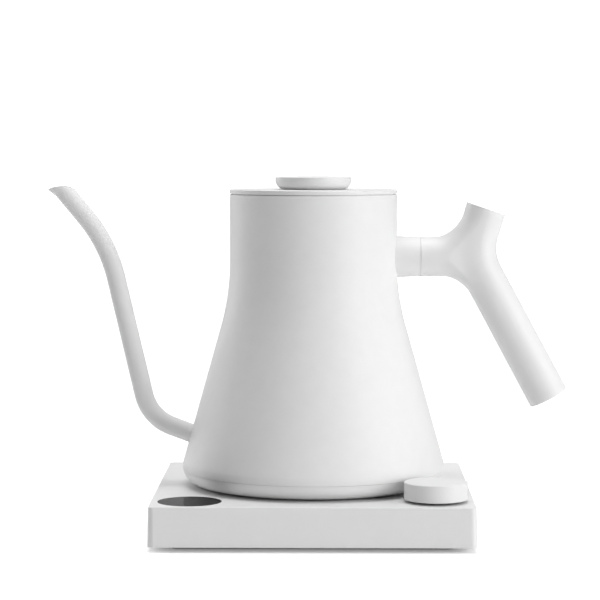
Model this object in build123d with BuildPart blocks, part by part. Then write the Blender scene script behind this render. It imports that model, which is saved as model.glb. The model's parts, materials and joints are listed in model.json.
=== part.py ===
from build123d import *
import os
from math import radians, sqrt, tan

os.makedirs("parts", exist_ok=True)

# Gooseneck kettle on a square powered base. Millimetres, +Z up, origin at table level on the
# kettle's axis. +X points to the handle and -X to the spout; the display and dial are at the front, -Y.

# ---------------------------------------------------------------- driving dimensions
# base housing
base_width = 172.0            # across the top face
base_height = 24.0            # table to top face
base_rim_height = 2.9         # table to the lower rim of the cover
base_draft = 1.1              # side wall draft in degrees
base_corner = 3.0
base_wall = 2.6
base_top_thickness = 2.8
base_edge_round = 0.4
plate_slab_width = 150.0      # recessed slab under the base
plate_slab_corner = 4.0
plate_gap = 0.25              # bottom plate to cover walls
plate_flange = 2.5
foot_height = 0.3             # feet stand proud of the slab
foot_radius = 8.0
foot_spacing = 120.0
cover_screw_spots = [(-70, 70), (70, 70), (-42, -38), (42, -38)]

# display and dial on the base top
display_spot = (-65.3, -65.1)
display_radius = 17.05
dial_spot = (65.5, -64.0)
dial_radius = 16.9
dial_gap = 1.45               # base top to dial skirt
dial_height = 9.2
dial_press = 0.8              # push travel

# kettle vessel, a cylinder over a cone
neck_radius = 46.4
cone_slope = 0.28             # radius lost per unit of height
cone_reach = 82.95            # radius where the cone's line meets the table plane
knee_blend = 128.0            # concave blend from cone to neck
foot_blend = 10.0             # convex blend at the foot
vessel_low = 24.9             # underside of the bottom ring
vessel_seam = 32.9            # steel shell starts here
vessel_top = 185.55
seam_gap = 0.12               # groove between ring and shell
shell_wall = 1.0
ring_wall = 2.0
rim_inner_radius = 43.5       # rolled rim at the mouth
rim_depth = 2.4
floor_height = 46.0           # top of the heating plate

# lid
lid_radius = 46.5
lid_thickness = 2.8
lid_groove = 0.6
knob_radius = 21.05
knob_height = 6.75
knob_crown = 0.55
knob_under_round = 5.0
knob_edge_round = 0.3
lid_plug_radius = 42.6
lid_plug_depth = 14.0

# spout, a bent tube in the XZ plane
spout_radius = 5.25
spout_wall = 0.8
spout_root = (-60.0, 49.4)
spout_low_corner = (-91.5, 60.9)
spout_high_corner = (-114.15, 158.05)
spout_end = (-138.83, 187.94)
spout_low_bend = 25.0
spout_high_bend = 84.0
lip_length = 9.0
lip_flare = 1.0
lip_low = 188.2
lip_high = 190.15
lip_front = -147.5
lip_back = -131.9

# handle, round bars in the XZ plane
arm_height = 151.1
arm_radius = 11.0
grip_radius = 11.15
handle_start = 59.1
stub_top = (95.7, 178.0)
handle_elbow = (88.0, 152.36)
grip_end = (130.9, 72.7)
elbow_bend = 31.0
crotch_blend = 18.0
handle_wall = 2.6
tenon_radius = 7.0
tenon_length = 20.0

# connector under the kettle
post_radius = 10.0
post_top = 35.0
collar_radius = 20.6
collar_top = 25.3
board_height = 8.0
board_thickness = 1.6

# shared fits and allowances
slide_fit = 0.1               # radial gap of a part that drops into a hole
press_fit = 0.02              # radial gap of a pressed part
joint_overlap = 0.5           # how far one feature runs into the next so that they join
cut_beyond = 20.0             # how far a cut runs past the part

slope_scale = sqrt(1 + cone_slope**2)
base_inner_top = base_height - base_top_thickness
board_top = board_height + board_thickness


def cone_radius(height, inset=0.0):
    """Radius of the conical wall at a height, measured inset along its normal."""
    return cone_reach - cone_slope * height - inset * slope_scale


def vessel_section(inset, low, high):
    """Half section of the vessel's outline, moved inwards by inset and kept between two heights."""
    neck = neck_radius - inset
    foot = vessel_low + inset
    knee_height = (cone_radius(0, inset) - neck) / cone_slope
    top = vessel_top + cut_beyond
    with BuildSketch(Plane.XZ) as section:
        with BuildLine():
            Polyline(
                (0, foot),
                (cone_radius(foot, inset), foot),
                (neck, knee_height),
                (neck, top),
                (0, top),
                close=True,
            )
        make_face()
        corners = section.vertices()
        fillet(corners.sort_by(Axis.X)[-1], foot_blend - inset)
        knee = section.vertices().sort_by_distance((neck, knee_height))[0]
        fillet(knee, knee_blend + inset)
        with Locations((0, low)):
            Rectangle(2 * cone_reach, high - low, align=(Align.CENTER, Align.MIN), mode=Mode.INTERSECT)
    return section.sketch


def vessel_solid(inset, low, high):
    """Solid of revolution of the vessel outline."""
    return revolve(vessel_section(inset, low, high), axis=Axis.Z, mode=Mode.PRIVATE)


def turned(points):
    """Solid of revolution about the kettle's axis from a closed outline of (radius, height) points."""
    with BuildPart() as body:
        with BuildSketch(Plane.XZ):
            with BuildLine():
                Polyline(*points, close=True)
            make_face()
        revolve(axis=Axis.Z)
    return body.part


def write(part, label):
    """Label a finished piece and write its STEP file."""
    part.label = label
    export_step(part, f"parts/{label}.step")


# ---------------------------------------------------------------- base cover
screw_post_radius = 4.0
screw_core_radius = 1.25
screw_core_depth = 12.0
lens_thickness = 1.2
lens_bevel = 0.12
seal_thickness = 0.4
lens_clearance = 0.08
lens_ledge = 15.6
bush_radius = 3.5
opening_gap = 0.15
gland_height = 13.0
gland_x = -16.0
gland_radius = 6.2
inside_width = base_width - 2 * base_wall
display_seat = base_height - lens_thickness - seal_thickness

with BuildPart() as base_cover:
    with BuildSketch(Plane.XY.offset(base_height)):
        RectangleRounded(base_width, base_width, base_corner)
    extrude(amount=-(base_height - base_rim_height), taper=-base_draft)
    fillet(base_cover.faces().sort_by(Axis.Z)[-1].edges(), base_edge_round)
    with BuildSketch(Plane.XY.offset(base_inner_top)):
        RectangleRounded(inside_width, inside_width, base_corner / 2)
    extrude(amount=-(base_inner_top - base_rim_height), taper=-base_draft, mode=Mode.SUBTRACT)
    with BuildSketch(Plane.XY.offset(base_rim_height + plate_flange)):
        with Locations(*cover_screw_spots):
            Circle(screw_post_radius)
    extrude(amount=base_inner_top - base_rim_height - plate_flange + joint_overlap)
    with BuildSketch(Plane.XY.offset(base_rim_height + plate_flange)):
        with Locations(*cover_screw_spots):
            Circle(screw_core_radius)
    extrude(amount=screw_core_depth, mode=Mode.SUBTRACT)
    # display seat with a ledge, dial bush hole, connector opening
    with BuildSketch(Plane.XY.offset(base_height)):
        with Locations(display_spot):
            Circle(display_radius + lens_clearance)
    extrude(amount=-(base_height - display_seat), mode=Mode.SUBTRACT)
    with BuildSketch(Plane.XY.offset(base_height)):
        with Locations(display_spot):
            Circle(lens_ledge)
        with Locations(dial_spot):
            Circle(bush_radius + opening_gap)
        Circle(collar_radius + opening_gap)
    extrude(amount=-(base_top_thickness + joint_overlap), mode=Mode.SUBTRACT)
    # cord inlet in the rear wall
    with BuildSketch(Plane.XZ.offset(-base_width)):
        with Locations((gland_x, gland_height)):
            Circle(gland_radius)
    extrude(amount=base_width / 2 + 2 * base_wall, mode=Mode.SUBTRACT)
write(base_cover.part, "base_cover")

# ---------------------------------------------------------------- base underside
rim_spread = 2 * (base_height - base_rim_height - plate_flange) * tan(radians(base_draft))
flange_width = inside_width + rim_spread - 2 * plate_gap
slab_low = foot_height
slab_bevel = 0.6
screw_hole_radius = 1.7
screw_head_radius = 3.0
screw_head_depth = 2.0
screw_head_gap = 0.2
screw_length = 12.0
standoff_radius = 3.0
control_board_size = (158.0, 36.0)
control_board_y = -65.0
power_board_size = (62.0, 60.0)
power_board_spot = (34.0, 48.0)
foot_spots = GridLocations(foot_spacing, foot_spacing, 2, 2).locations
foot_pocket = 1.2
foot_bevel = 0.3


def post_spots(centre, reach_x, reach_y):
    """Four spots round a board's centre."""
    return [(centre[0] + x, centre[1] + y) for x in (-reach_x, reach_x) for y in (-reach_y, reach_y)]


control_posts = post_spots((0, control_board_y), 40, 14)
power_posts = post_spots(power_board_spot, 27, 26)

with BuildPart() as base_bottom_plate:
    with BuildSketch(Plane.XY.offset(base_rim_height)):
        RectangleRounded(flange_width, flange_width, base_corner)
    extrude(amount=plate_flange)
    with BuildSketch(Plane.XY.offset(slab_low)):
        RectangleRounded(plate_slab_width, plate_slab_width, plate_slab_corner)
    extrude(amount=base_rim_height - slab_low)
    chamfer(base_bottom_plate.faces().sort_by(Axis.Z)[0].edges(), slab_bevel)
    with BuildSketch(Plane.XY.offset(base_rim_height + plate_flange)):
        with Locations(*control_posts, *power_posts):
            Circle(standoff_radius)
    extrude(amount=board_height - base_rim_height - plate_flange)
    with BuildSketch(Plane.XY.offset(slab_low)):
        with Locations(*foot_spots):
            Circle(foot_radius + slide_fit)
    extrude(amount=foot_pocket, mode=Mode.SUBTRACT)
    with BuildSketch(Plane.XY.offset(slab_low)):
        with Locations(*cover_screw_spots):
            Circle(screw_head_radius + screw_head_gap)
    extrude(amount=screw_head_depth, mode=Mode.SUBTRACT)
    with BuildSketch(Plane.XY.offset(slab_low)):
        with Locations(*cover_screw_spots):
            Circle(screw_hole_radius)
    extrude(amount=base_rim_height + plate_flange, mode=Mode.SUBTRACT)
write(base_bottom_plate.part, "base_bottom_plate")

with BuildPart() as rubber_feet:
    with BuildSketch(Plane.XY):
        with Locations(*foot_spots):
            Circle(foot_radius)
    extrude(amount=foot_height + foot_pocket)
    chamfer(rubber_feet.faces().group_by(Axis.Z)[0].edges(), foot_bevel)
write(rubber_feet.part, "rubber_feet")


def screw_group(label, spots, head_low, head_depth, head_radius, shank_radius, length):
    """Upright screws with their heads down and a cross slot in each head."""
    slot = head_radius * 1.2
    slot_width = slot / 4
    with BuildPart() as screws:
        with BuildSketch(Plane.XY.offset(head_low)):
            with Locations(*spots):
                Circle(head_radius)
        extrude(amount=head_depth)
        with BuildSketch(Plane.XY.offset(head_low + head_depth)):
            with Locations(*spots):
                Circle(shank_radius)
        extrude(amount=length)
        with BuildSketch(Plane.XY.offset(head_low)):
            with Locations(*spots):
                Rectangle(slot, slot_width)
                Rectangle(slot_width, slot)
        extrude(amount=head_depth / 2, mode=Mode.SUBTRACT)
    write(screws.part, label)


screw_group(
    "base_screws",
    cover_screw_spots,
    slab_low + screw_head_gap,
    screw_head_depth - screw_head_gap,
    screw_head_radius,
    screw_core_radius,
    screw_length,
)

# ---------------------------------------------------------------- display
module_thickness = 3.0
module_rise = 0.2             # the module's face stands into the gasket
module_gap = 0.4
module_socket_size = (21.0, 18.0)
module_low = display_seat + module_rise - module_thickness

with BuildPart() as display_lens:
    with BuildSketch(Plane.XY.offset(display_seat + seal_thickness)):
        with Locations(display_spot):
            Circle(display_radius)
    extrude(amount=lens_thickness)
    chamfer(display_lens.faces().sort_by(Axis.Z)[-1].edges(), lens_bevel)
write(display_lens.part, "display_lens")

with BuildPart() as display_gasket:
    with BuildSketch(Plane.XY.offset(display_seat)):
        with Locations(display_spot):
            Circle(display_radius)
            Circle(lens_ledge, mode=Mode.SUBTRACT)
    extrude(amount=seal_thickness)
write(display_gasket.part, "display_gasket")

with BuildPart() as display_module:
    with BuildSketch(Plane.XY.offset(module_low)):
        with Locations(display_spot):
            Circle(lens_ledge - module_gap)
    extrude(amount=module_thickness)
    with BuildSketch(Plane.XY.offset(board_top)):
        with Locations(display_spot):
            Rectangle(*module_socket_size)
    extrude(amount=module_low - board_top)
write(display_module.part, "display_module")

# ---------------------------------------------------------------- dial and encoder
dial_low = base_height + dial_gap
dial_top = dial_low + dial_height
dial_recess_radius = 13.5
dial_recess_depth = 4.2
dial_top_round = 0.5
dial_skirt_round = 0.3
dial_boss_radius = 4.5
shaft_radius = 2.0
rotor_radius = 2.95
running_gap = 0.05
shaft_low = board_top + 1.6
shaft_top = dial_top - 2.2
bush_top = 27.0
rotor_top = bush_top - 0.6
boss_low = bush_top + dial_press + 0.3
encoder_size = 13.0
encoder_floor = 0.5
encoder_top = 19.0
nut_height = 2.0
nut_radius = 5.8

with BuildPart() as dial_knob:
    with BuildSketch(Plane.XY.offset(dial_low)):
        with Locations(dial_spot):
            Circle(dial_radius)
    extrude(amount=dial_height)
    fillet(dial_knob.faces().sort_by(Axis.Z)[-1].edges(), dial_top_round)
    fillet(dial_knob.faces().sort_by(Axis.Z)[0].edges(), dial_skirt_round)
    with BuildSketch(Plane.XY.offset(dial_low)):
        with Locations(dial_spot):
            Circle(dial_recess_radius)
    extrude(amount=dial_recess_depth, mode=Mode.SUBTRACT)
    with BuildSketch(Plane.XY.offset(boss_low)):
        with Locations(dial_spot):
            Circle(dial_boss_radius)
    extrude(amount=dial_low + dial_recess_depth - boss_low + joint_overlap)
    with BuildSketch(Plane.XY.offset(boss_low)):
        with Locations(dial_spot):
            Circle(shaft_radius + press_fit)
    extrude(amount=shaft_top - boss_low, mode=Mode.SUBTRACT)
write(dial_knob.part, "dial_knob")

with BuildPart() as encoder_shaft:
    with BuildSketch(Plane.XY.offset(shaft_low)):
        with Locations(dial_spot):
            Circle(shaft_radius)
    extrude(amount=shaft_top - shaft_low)
write(encoder_shaft.part, "encoder_shaft")

with BuildPart() as encoder_rotor:
    with BuildSketch(Plane.XY.offset(shaft_low)):
        with Locations(dial_spot):
            Circle(rotor_radius)
            Circle(shaft_radius + running_gap, mode=Mode.SUBTRACT)
    extrude(amount=rotor_top - shaft_low)
write(encoder_rotor.part, "encoder_rotor")

with BuildPart() as encoder_body:
    with BuildSketch(Plane.XY.offset(board_top)):
        with Locations(dial_spot):
            Rectangle(encoder_size, encoder_size)
    extrude(amount=encoder_top - board_top)
    with BuildSketch(Plane.XY.offset(encoder_top)):
        with Locations(dial_spot):
            Circle(bush_radius)
    extrude(amount=bush_top - encoder_top)
    with BuildSketch(Plane.XY.offset(board_top + encoder_floor)):
        with Locations(dial_spot):
            Circle(rotor_radius + running_gap)
    extrude(amount=bush_top, mode=Mode.SUBTRACT)
write(encoder_body.part, "encoder_body")

with BuildPart() as encoder_nut:
    with BuildSketch(Plane.XY.offset(base_height)):
        with Locations(dial_spot):
            RegularPolygon(nut_radius, 6)
            Circle(bush_radius + press_fit, mode=Mode.SUBTRACT)
    extrude(amount=nut_height)
write(encoder_nut.part, "encoder_nut")

# ---------------------------------------------------------------- base half of the connector
connector_flange = 25.0
flange_thickness = 2.0
connector_seal_thickness = 0.8
flange_top = base_inner_top - connector_seal_thickness
flange_low = flange_top - flange_thickness
post_bevel = 1.0
pin_bore = 2.6
clip_inner = 1.6
clip_lift = 0.6
clip_length = 7.0
groove_inner = 5.3
groove_outer = 7.3
groove_low = 24.5
groove_contact_height = 6.0
contact_wall = 0.5
earth_inner = 13.0
earth_outer = 16.0

base_connector_body = turned(
    [
        (pin_bore, flange_low),
        (connector_flange, flange_low),
        (connector_flange, flange_top),
        (collar_radius, flange_top),
        (collar_radius, collar_top),
        (post_radius, collar_top),
        (post_radius, post_top - post_bevel),
        (post_radius - post_bevel, post_top),
        (groove_outer, post_top),
        (groove_outer, groove_low),
        (groove_inner, groove_low),
        (groove_inner, post_top),
        (pin_bore, post_top),
    ]
)
write(base_connector_body, "base_connector")

with BuildPart() as connector_seal:
    with BuildSketch(Plane.XY.offset(flange_top)):
        Circle(connector_flange)
        Circle(collar_radius + slide_fit, mode=Mode.SUBTRACT)
    extrude(amount=connector_seal_thickness)
write(connector_seal.part, "connector_seal")

with BuildPart() as base_contacts:
    # centre clip, ring in the groove, earth ring on the collar
    with BuildSketch(Plane.XY.offset(flange_low + clip_lift)):
        Circle(pin_bore - running_gap)
        Circle(clip_inner, mode=Mode.SUBTRACT)
    extrude(amount=clip_length)
    with BuildSketch(Plane.XY.offset(groove_low)):
        Circle(groove_inner + running_gap + contact_wall)
        Circle(groove_inner + running_gap, mode=Mode.SUBTRACT)
    extrude(amount=groove_contact_height)
    with BuildSketch(Plane.XY.offset(collar_top)):
        Circle(earth_outer)
        Circle(earth_inner, mode=Mode.SUBTRACT)
    extrude(amount=contact_wall)
write(base_contacts.part, "base_contacts")

# ---------------------------------------------------------------- boards and their components
with BuildPart() as control_board:
    with BuildSketch(Plane.XY.offset(board_height)):
        with Locations((0, control_board_y)):
            Rectangle(*control_board_size)
    extrude(amount=board_thickness)
write(control_board.part, "control_board")

with BuildPart() as power_board:
    with BuildSketch(Plane.XY.offset(board_height)):
        with Locations(power_board_spot):
            Rectangle(*power_board_size)
    extrude(amount=board_thickness)
write(power_board.part, "power_board")


block_corner = 0.8
block_bevel = 0.4
# label: spot, size and height of each block
board_blocks = {
    "relay": ((50, 66), (20, 16), 10.5),
    "transformer": ((50, 38), (26, 22), 10.8),
    "terminal_block": ((16, 66), (20, 12), 9.5),
}
terminal_spot, terminal_size = board_blocks["terminal_block"][:2]
capacitor_spots = [(32, 30), (32, 44)]
capacitor_radius = 4.5
capacitor_height = 10.5
capacitor_round = 0.5
buzzer_radius = 6.0
buzzer_height = 7.0
buzzer_vent = 1.0

for label, (spot, size, height) in board_blocks.items():
    with BuildPart() as block:
        with BuildSketch(Plane.XY.offset(board_top)):
            with Locations(spot):
                RectangleRounded(*size, block_corner)
        extrude(amount=height)
        chamfer(block.faces().sort_by(Axis.Z)[-1].edges(), block_bevel)
    write(block.part, label)

with BuildPart() as capacitors:
    with BuildSketch(Plane.XY.offset(board_top)):
        with Locations(*capacitor_spots):
            Circle(capacitor_radius)
    extrude(amount=capacitor_height)
    fillet(capacitors.faces().group_by(Axis.Z)[-1].edges(), capacitor_round)
write(capacitors.part, "capacitors")

with BuildPart() as buzzer:
    with BuildSketch(Plane.XY.offset(board_top)):
        with Locations((0, control_board_y)):
            Circle(buzzer_radius)
    extrude(amount=buzzer_height)
    with BuildSketch(Plane.XY.offset(board_top + buzzer_height)):
        with Locations((0, control_board_y)):
            Circle(buzzer_vent)
    extrude(amount=-buzzer_vent, mode=Mode.SUBTRACT)
write(buzzer.part, "buzzer")

# ---------------------------------------------------------------- cord inlet and internal leads
gland_outer = base_width / 2
gland_inner = 74.0
cord_bore = 3.6
gland_collar_radius = 7.4
gland_collar_thickness = 2.5
wall_inner = gland_outer - base_wall - running_gap

with BuildPart() as cord_gland:
    with BuildSketch(Plane.XZ.offset(-gland_outer)):
        with Locations((gland_x, gland_height)):
            Circle(gland_radius - running_gap)
    extrude(amount=gland_outer - gland_inner)
    with BuildSketch(Plane.XZ.offset(-wall_inner)):
        with Locations((gland_x, gland_height)):
            Circle(gland_collar_radius)
    extrude(amount=gland_collar_thickness)
    with BuildSketch(Plane.XZ.offset(-gland_outer)):
        with Locations((gland_x, gland_height)):
            Circle(cord_bore)
    extrude(amount=gland_outer - gland_inner, mode=Mode.SUBTRACT)
write(cord_gland.part, "cord_gland")

lead_radius = 1.1
lead_pitch = 2.4
mains_lead_bend = 3.0
connector_lead_bend = 2.0
connector_lead_start = (10.0, 44.0)
connector_lead_turn = -6.0
connector_lead_pitch = 3.0
connector_lead_reach = 14.0


def lead_group(label, routes, bend):
    """Three insulated leads side by side, each along its own route with rounded corners."""
    leads = []
    for route in routes:
        with BuildPart() as lead:
            with BuildLine() as path:
                FilletPolyline(*route, radius=bend)
            with BuildSketch(Plane(origin=path.line @ 0, z_dir=path.line % 0)):
                Circle(lead_radius)
            sweep()
        leads.append(lead.part)
    group = Part(children=leads)
    write(group, label)


mains_routes = [
    [
        (gland_x + side * lead_pitch, gland_inner, gland_height),
        (gland_x + side * lead_pitch, terminal_spot[1] + side * lead_pitch, gland_height),
        (terminal_spot[0] - terminal_size[0] / 2, terminal_spot[1] + side * lead_pitch, gland_height),
    ]
    for side in (-1, 0, 1)
]
lead_group("mains_leads", mains_routes, mains_lead_bend)

lead_height = board_top + lead_radius + slide_fit
connector_routes = []
for side in (-1, 0, 1):
    across = connector_lead_turn - side * connector_lead_pitch
    along = connector_lead_start[1] + side * connector_lead_pitch
    connector_routes.append(
        [
            (connector_lead_start[0], along, lead_height),
            (across, along, lead_height),
            (across, connector_lead_reach, lead_height),
            (across, connector_lead_reach, flange_low),
        ]
    )
lead_group("connector_leads", connector_routes, connector_lead_bend)

# flat cable bridging the two boards, each end stood on its board
ribbon_width = 14.0
ribbon_thickness = 0.6
ribbon_x = 12.0
ribbon_rise = 2.0
ribbon_front = control_board_y + 7.4
ribbon_back = 28.6
with BuildPart() as ribbon_cable:
    with BuildSketch(Plane.YZ.offset(ribbon_x)):
        with BuildLine():
            Polyline(
                (ribbon_front + ribbon_thickness, board_top),
                (ribbon_front + ribbon_thickness, board_top + ribbon_rise),
                (ribbon_back - ribbon_thickness, board_top + ribbon_rise),
                (ribbon_back - ribbon_thickness, board_top),
                (ribbon_back, board_top),
                (ribbon_back, board_top + ribbon_rise + ribbon_thickness),
                (ribbon_front, board_top + ribbon_rise + ribbon_thickness),
                (ribbon_front, board_top),
                close=True,
            )
        make_face()
    extrude(amount=ribbon_width)
write(ribbon_cable.part, "ribbon_cable")

# ---------------------------------------------------------------- spout
lean_high = Vector(spout_end[0] - spout_high_corner[0], 0, spout_end[1] - spout_high_corner[1]).normalized()
lip_across = Vector(lean_high.Z, 0, -lean_high.X)
spout_axis_end = Vector(spout_end[0], 0, spout_end[1])
end_plane = Plane(origin=spout_axis_end, x_dir=lip_across, z_dir=lean_high)
lip_plane = Plane(origin=spout_axis_end + lean_high * lip_length, x_dir=lip_across, z_dir=lean_high)
root_run = Vector(spout_low_corner[0] - spout_root[0], 0, spout_low_corner[1] - spout_root[1]).normalized()


def gooseneck(radius):
    """Solid bar along the spout's axis, drawn out into the flared lip."""
    with BuildPart() as bar:
        with BuildLine(Plane.XZ) as path:
            FilletPolyline(
                spout_root,
                spout_low_corner,
                spout_high_corner,
                spout_end,
                radius=[spout_low_bend, spout_high_bend],
            )
        with BuildSketch(Plane(origin=path.line @ 0, z_dir=path.line % 0)):
            Circle(radius)
        sweep()
        with BuildSketch(end_plane):
            Circle(radius)
        with BuildSketch(lip_plane):
            with Locations((-lip_flare, 0)):
                Ellipse(radius + lip_flare, radius)
        loft()
    return bar.part


spout_bore = gooseneck(spout_radius - spout_wall)
with BuildPart() as spout:
    add(gooseneck(spout_radius))
    add(spout_bore, mode=Mode.SUBTRACT)
    add(vessel_solid(0, vessel_seam, arm_height), mode=Mode.SUBTRACT)
    # the rim rises in a shallow arch between the drawn-out front and the back
    with BuildSketch(Plane.XZ):
        with BuildLine():
            ThreePointArc((lip_front, lip_low), ((lip_front + lip_back) / 2, lip_high), (lip_back, lip_low))
            Polyline(
                (lip_back, lip_low),
                (lip_back + cut_beyond, lip_low),
                (lip_back + cut_beyond, lip_high + cut_beyond),
                (lip_front - cut_beyond, lip_high + cut_beyond),
                (lip_front - cut_beyond, lip_low),
                (lip_front, lip_low),
            )
        make_face()
    extrude(amount=cut_beyond, both=True, mode=Mode.SUBTRACT)
write(spout.part, "spout")

# ---------------------------------------------------------------- vessel
with BuildPart() as kettle_body:
    add(vessel_solid(0, vessel_seam + seam_gap, vessel_top))
    add(vessel_solid(shell_wall, vessel_seam, vessel_top + joint_overlap), mode=Mode.SUBTRACT)
    with BuildSketch(Plane.XY.offset(vessel_top)):
        Circle(neck_radius - shell_wall / 2)
        Circle(rim_inner_radius, mode=Mode.SUBTRACT)
    extrude(amount=-rim_depth)
    add(spout_bore, mode=Mode.SUBTRACT)
write(kettle_body.part, "kettle_body")

ring_inner_edge = 58.0
with BuildPart() as kettle_bottom_ring:
    add(vessel_solid(0, vessel_low, vessel_seam))
    add(vessel_solid(ring_wall, vessel_low, vessel_seam + joint_overlap), mode=Mode.SUBTRACT)
    with BuildSketch(Plane.XY.offset(vessel_low)):
        Circle(ring_inner_edge)
    extrude(amount=cut_beyond, mode=Mode.SUBTRACT)
write(kettle_bottom_ring.part, "kettle_bottom_ring")

# ---------------------------------------------------------------- under the vessel's floor
cover_low = vessel_low + ring_wall
cover_thickness = 2.0
cover_radius = 62.0
socket_radius = 24.5
bottom_screw_spots = PolarLocations(55, 3, 30).locations
bottom_screw_head_radius = 2.8
bottom_screw_head_depth = 1.6
bottom_screw_radius = 1.3
bottom_screw_length = 9.0
bottom_post_radius = 3.2
pad_spots = PolarLocations(50, 3, 90).locations
pad_radius = 4.0
pad_bevel = 0.3
plate_thickness = 1.5
plate_low = floor_height - plate_thickness
probe_spot = (-33.0, 0.0)
probe_radius = 2.5
spreader_thickness = 3.0
spreader_low = plate_low - spreader_thickness
spreader_radius = 49.0
element_radius = 42.0
element_tube = 3.3
terminal_blade = (3.2, 0.8)
terminal_blade_length = 4.2
cutoff_spots = [(0, 33), (0, -33)]
cutoff_radius = 5.0
cutoff_height = 5.0
probe_round = 2.2
probe_drop = 6.0
probe_gasket_radius = 5.0
probe_gasket_height = 1.2

with BuildPart() as kettle_bottom_cover:
    with BuildSketch(Plane.XY.offset(cover_low)):
        Circle(cover_radius)
        Circle(socket_radius + 2 * joint_overlap, mode=Mode.SUBTRACT)
        with Locations(*bottom_screw_spots):
            Circle(screw_hole_radius, mode=Mode.SUBTRACT)
    extrude(amount=cover_thickness)
write(kettle_bottom_cover.part, "kettle_bottom_cover")

screw_group(
    "bottom_cover_screws",
    bottom_screw_spots,
    cover_low - bottom_screw_head_depth,
    bottom_screw_head_depth,
    bottom_screw_head_radius,
    bottom_screw_radius,
    bottom_screw_length,
)

with BuildPart() as bottom_posts:
    with BuildSketch(Plane.XY.offset(cover_low + cover_thickness)):
        with Locations(*bottom_screw_spots):
            Circle(bottom_post_radius)
            Circle(bottom_screw_radius, mode=Mode.SUBTRACT)
    extrude(amount=plate_low - cover_low - cover_thickness)
write(bottom_posts.part, "bottom_posts")

with BuildPart() as kettle_rest_pads:
    with BuildSketch(Plane.XY.offset(base_height)):
        with Locations(*pad_spots):
            Circle(pad_radius)
    extrude(amount=cover_low - base_height)
    chamfer(kettle_rest_pads.faces().group_by(Axis.Z)[0].edges(), pad_bevel)
write(kettle_rest_pads.part, "kettle_rest_pads")

with BuildPart() as heating_plate:
    with BuildSketch(Plane.XY.offset(plate_low)):
        Circle(cone_radius(floor_height, shell_wall) - press_fit)
        with Locations(probe_spot):
            Circle(probe_radius + slide_fit, mode=Mode.SUBTRACT)
    extrude(amount=plate_thickness)
write(heating_plate.part, "heating_plate")

with BuildPart() as heat_spreader:
    with BuildSketch(Plane.XY.offset(spreader_low)):
        Circle(spreader_radius)
        with Locations(probe_spot):
            Circle(probe_radius + slide_fit, mode=Mode.SUBTRACT)
    extrude(amount=spreader_thickness)
write(heat_spreader.part, "heat_spreader")

element_height = spreader_low - element_tube
element_gap = 50.0
with BuildPart() as heating_element:
    with BuildLine(Plane.XY.offset(element_height)) as element_path:
        CenterArc((0, 0), element_radius, element_gap / 2, 360 - element_gap)
    with BuildSketch(Plane(origin=element_path.line @ 0, z_dir=element_path.line % 0)):
        Circle(element_tube)
    sweep()
write(heating_element.part, "heating_element")

blade_turn = element_gap / 2 + 4
with BuildPart() as element_terminals:
    with BuildSketch(Plane.XY.offset(element_height - element_tube - terminal_blade_length + press_fit)):
        with Locations(
            PolarLocations(element_radius, 1, blade_turn).locations[0],
            PolarLocations(element_radius, 1, -blade_turn).locations[0],
        ):
            Rectangle(*terminal_blade)
    extrude(amount=terminal_blade_length)
    add(heating_element.part, mode=Mode.SUBTRACT)
write(element_terminals.part, "element_terminals")

with BuildPart() as thermal_cutoffs:
    with BuildSketch(Plane.XY.offset(spreader_low)):
        with Locations(*cutoff_spots):
            Circle(cutoff_radius)
    extrude(amount=-cutoff_height)
write(thermal_cutoffs.part, "thermal_cutoffs")

probe_top = floor_height + 14
with BuildPart() as temperature_probe:
    with BuildSketch(Plane.XY.offset(spreader_low - probe_drop)):
        with Locations(probe_spot):
            Circle(probe_radius)
    extrude(amount=probe_top - spreader_low + probe_drop)
    fillet(temperature_probe.faces().sort_by(Axis.Z)[-1].edges(), probe_round)
write(temperature_probe.part, "temperature_probe")

with BuildPart() as probe_gasket:
    with BuildSketch(Plane.XY.offset(floor_height)):
        with Locations(probe_spot):
            Circle(probe_gasket_radius)
            Circle(probe_radius + press_fit, mode=Mode.SUBTRACT)
    extrude(amount=probe_gasket_height)
write(probe_gasket.part, "probe_gasket")

# ---------------------------------------------------------------- kettle half of the connector
socket_low = 26.0
socket_top = 39.5
socket_flange_low = cover_low + cover_thickness + slide_fit
socket_flange_thickness = 2.0
socket_flange_radius = 28.0
socket_skirt = 3.0
socket_neck = socket_radius - 6.0
socket_shelf = 28.6
socket_bore = post_radius + 0.6
socket_roof = post_top + 1.2
kettle_socket_body = turned(
    [
        (socket_radius - socket_skirt, socket_low),
        (socket_radius, socket_low),
        (socket_radius, socket_flange_low),
        (socket_flange_radius, socket_flange_low),
        (socket_flange_radius, socket_flange_low + socket_flange_thickness),
        (socket_neck, socket_flange_low + socket_flange_thickness),
        (socket_neck, socket_top),
        (0, socket_top),
        (0, socket_roof),
        (socket_bore, socket_roof),
        (socket_bore, socket_shelf),
        (socket_radius - socket_skirt, socket_shelf),
    ]
)
write(kettle_socket_body, "kettle_socket")

pin_radius = 1.5
pin_low = 20.5
groove_contact_inner = groove_inner + 0.75
groove_contact_outer = groove_outer - 0.5
groove_contact_low = groove_low + 2.0
earth_spring_drop = 1.6
with BuildPart() as socket_contacts:
    # centre pin, ring that enters the groove, earth ring over the collar
    with BuildSketch(Plane.XY.offset(socket_roof)):
        Circle(pin_radius)
    extrude(amount=pin_low - socket_roof)
    with BuildSketch(Plane.XY.offset(socket_roof)):
        Circle(groove_contact_outer)
        Circle(groove_contact_inner, mode=Mode.SUBTRACT)
    extrude(amount=groove_contact_low - socket_roof)
    with BuildSketch(Plane.XY.offset(socket_shelf)):
        Circle(earth_outer)
        Circle(earth_inner, mode=Mode.SUBTRACT)
    extrude(amount=-earth_spring_drop)
write(socket_contacts.part, "socket_contacts")

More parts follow.
